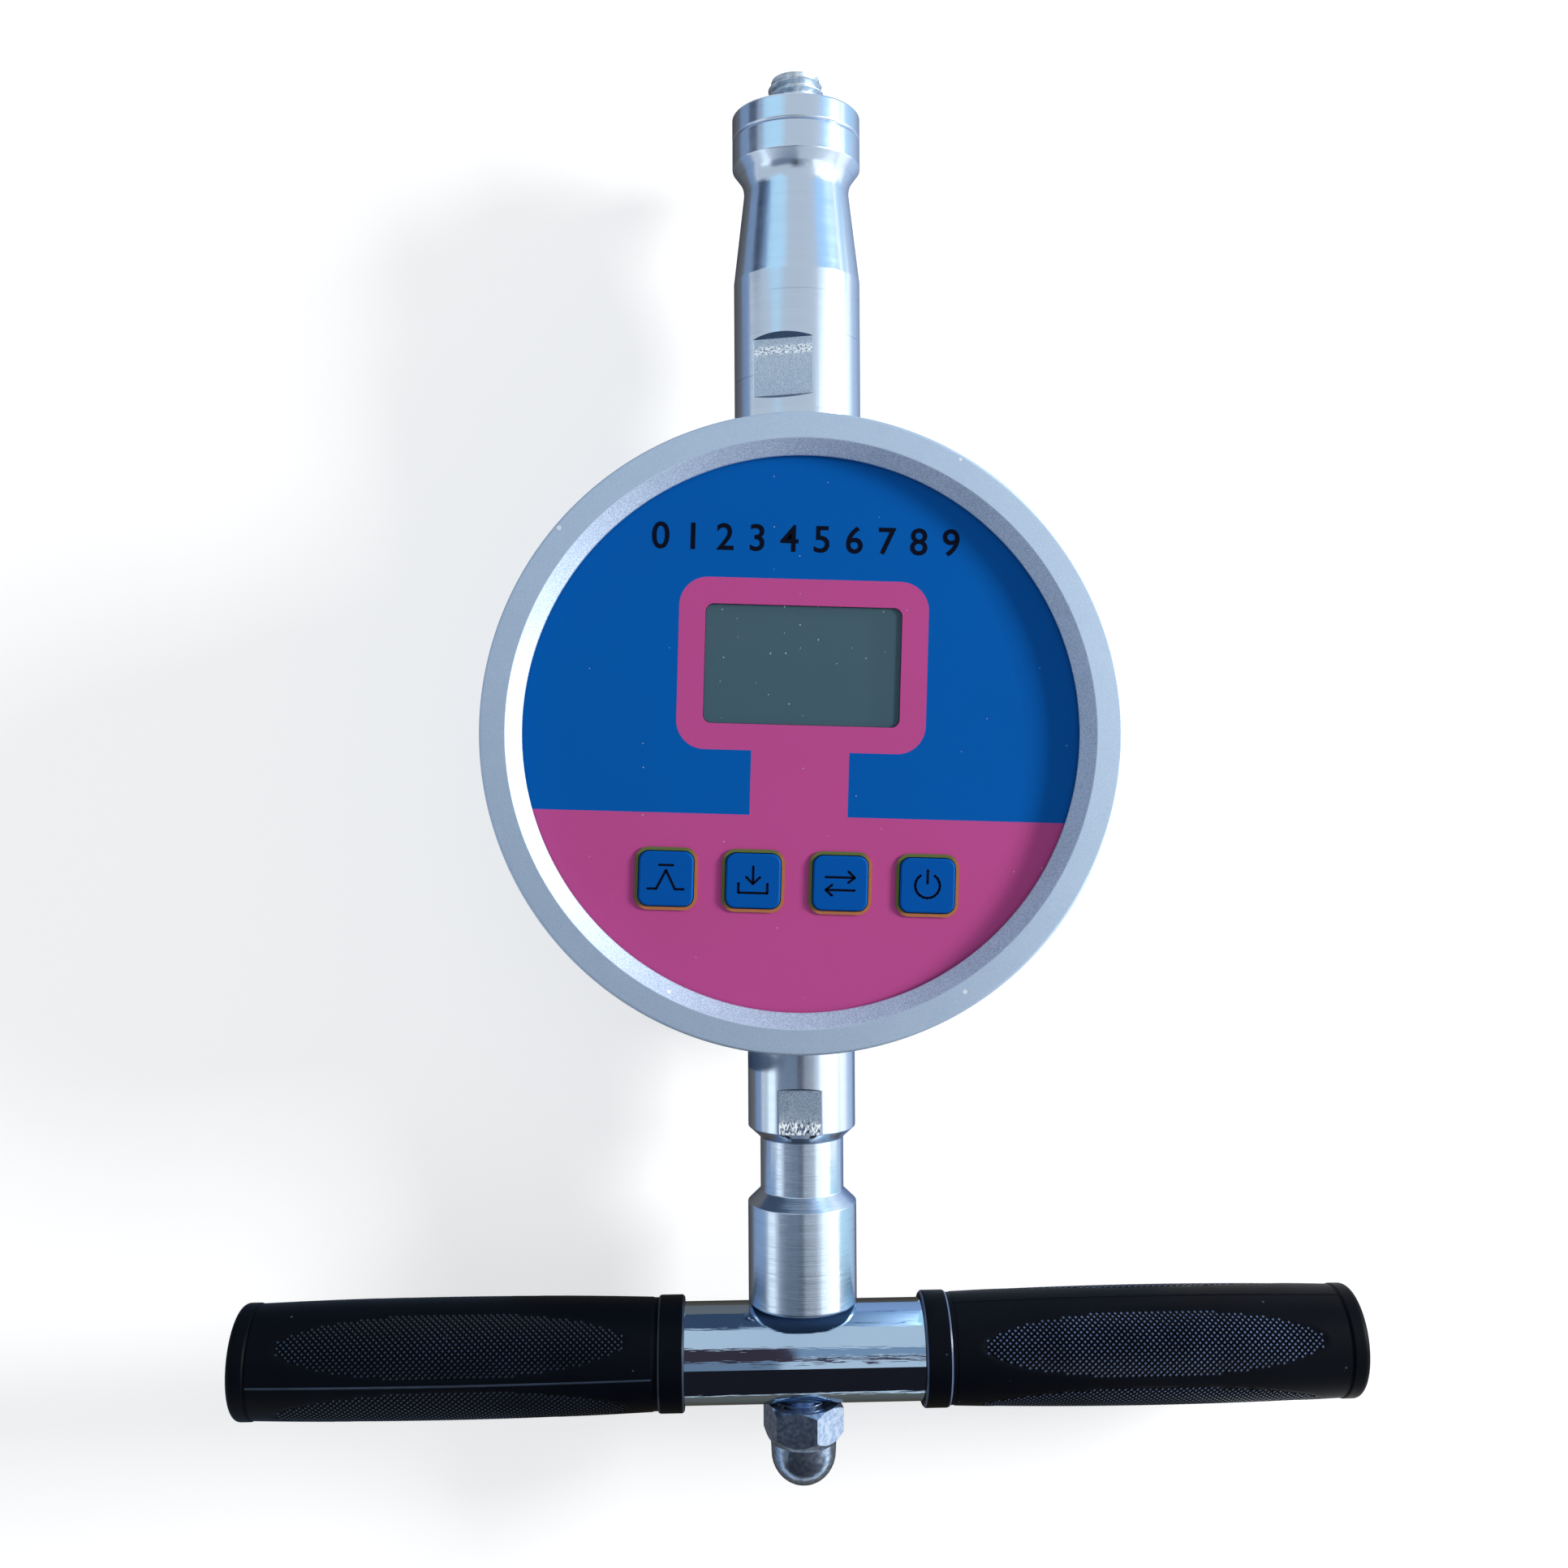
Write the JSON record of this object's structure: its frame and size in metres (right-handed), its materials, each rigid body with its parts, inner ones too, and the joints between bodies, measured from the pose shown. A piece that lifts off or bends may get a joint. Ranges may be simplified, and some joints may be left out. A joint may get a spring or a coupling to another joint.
{
  "type": "foundation bearing capacity tester",
  "caption": "Handheld soil bearing tester: round digital gauge head with a load cell inside, a tapered stem with a threaded probe stud and a T-handle with rubber grips.",
  "frame": {"origin": "middle of the back cover's flat outer face, on which the tester lies", "axes": "+X towards the right-hand grip, +Y along the shaft to the probe stud, +Z out of the dial"},
  "size_m": [0.2834, 0.3566, 0.064],
  "materials": {
    "turned_aluminium": "lathe turned, fine feed marks",
    "blasted_aluminium": "bead blasted and clear anodised",
    "chrome_plate": "mirror",
    "zinc_steel": "zinc plated",
    "grip_rubber": "moulded, knurled patches",
    "seal_rubber": "plain",
    "dial_blue": "printed film, satin",
    "dial_pink": "printed film, satin",
    "key_blue": "satin",
    "key_yellow": "printed edge",
    "window_clear": "polished acrylic",
    "lcd_grey": "reflective display glass",
    "board_green": "solder resist",
    "black_plastic": "moulded",
    "cell_steel": "nickel plated alloy steel",
    "battery_wrap": "shrink wrapped",
    "lead_black": "cable jacket"
  },
  "bodies": {
    "gauge": {"back_cover": "blasted_aluminium", "back_gasket": "seal_rubber", "cover_screws": "zinc_steel", "case_body": "blasted_aluminium", "stem_seal": "seal_rubber", "bezel": "blasted_aluminium", "dial_gasket": "seal_rubber", "dial_plate": "black_plastic", "dial_film_blue": "dial_blue", "dial_film_pink": "dial_pink", "key_frames": "key_yellow", "window_pane": "window_clear", "lcd_glass": "lcd_grey", "lcd_holder": "black_plastic", "main_board": "board_green", "board_standoffs": "zinc_steel", "board_screws": "zinc_steel", "board_chips": "black_plastic", "board_connectors": "black_plastic", "key_switches": "black_plastic", "load_cell": "cell_steel", "cell_covers": "cell_steel", "cell_gland": "zinc_steel", "cell_cable": "lead_black", "batteries": "battery_wrap", "battery_cradles": "black_plastic", "battery_leads": "lead_black", "data_socket": "zinc_steel", "socket_nut": "zinc_steel", "socket_lead": "lead_black", "upper_stem": "turned_aluminium", "upper_jam_nut": "zinc_steel", "thrust_ring": "turned_aluminium", "probe_stud": "zinc_steel", "lower_stem": "turned_aluminium", "lower_jam_nut": "zinc_steel", "case_nut": "zinc_steel", "handle_post": "turned_aluminium", "handle_stud": "zinc_steel", "cap_nut": "zinc_steel"},
    "handle": {"handle_bar": "chrome_plate", "spacer_sleeve": "zinc_steel", "grip_left": "grip_rubber", "grip_right": "grip_rubber"},
    "key_peak": {"key_peak": "key_blue", "plunger_peak": "black_plastic"},
    "key_store": {"key_store": "key_blue", "plunger_store": "black_plastic"},
    "key_send": {"key_send": "key_blue", "plunger_send": "black_plastic"},
    "key_power": {"key_power": "key_blue", "plunger_power": "black_plastic"}
  },
  "joints": [
    {"name": "handle_swivel", "type": "hinge", "parent": "gauge", "child": "handle", "pos_m": [0, -0.156, 0.03], "axis": [0, 1, 0], "range_deg": [-180, 180]},
    {"name": "key_peak_press", "type": "slide", "parent": "gauge", "child": "key_peak", "axis": [0, 0, -1], "range_m": [0, 0.0007], "stiffness_N_per_m": 1500, "springref_m": -0.0004},
    {"name": "key_store_press", "type": "slide", "parent": "gauge", "child": "key_store", "axis": [0, 0, -1], "range_m": [0, 0.0007], "stiffness_N_per_m": 1500, "springref_m": -0.0004},
    {"name": "key_send_press", "type": "slide", "parent": "gauge", "child": "key_send", "axis": [0, 0, -1], "range_m": [0, 0.0007], "stiffness_N_per_m": 1500, "springref_m": -0.0004},
    {"name": "key_power_press", "type": "slide", "parent": "gauge", "child": "key_power", "axis": [0, 0, -1], "range_m": [0, 0.0007], "stiffness_N_per_m": 1500, "springref_m": -0.0004}
  ]
}
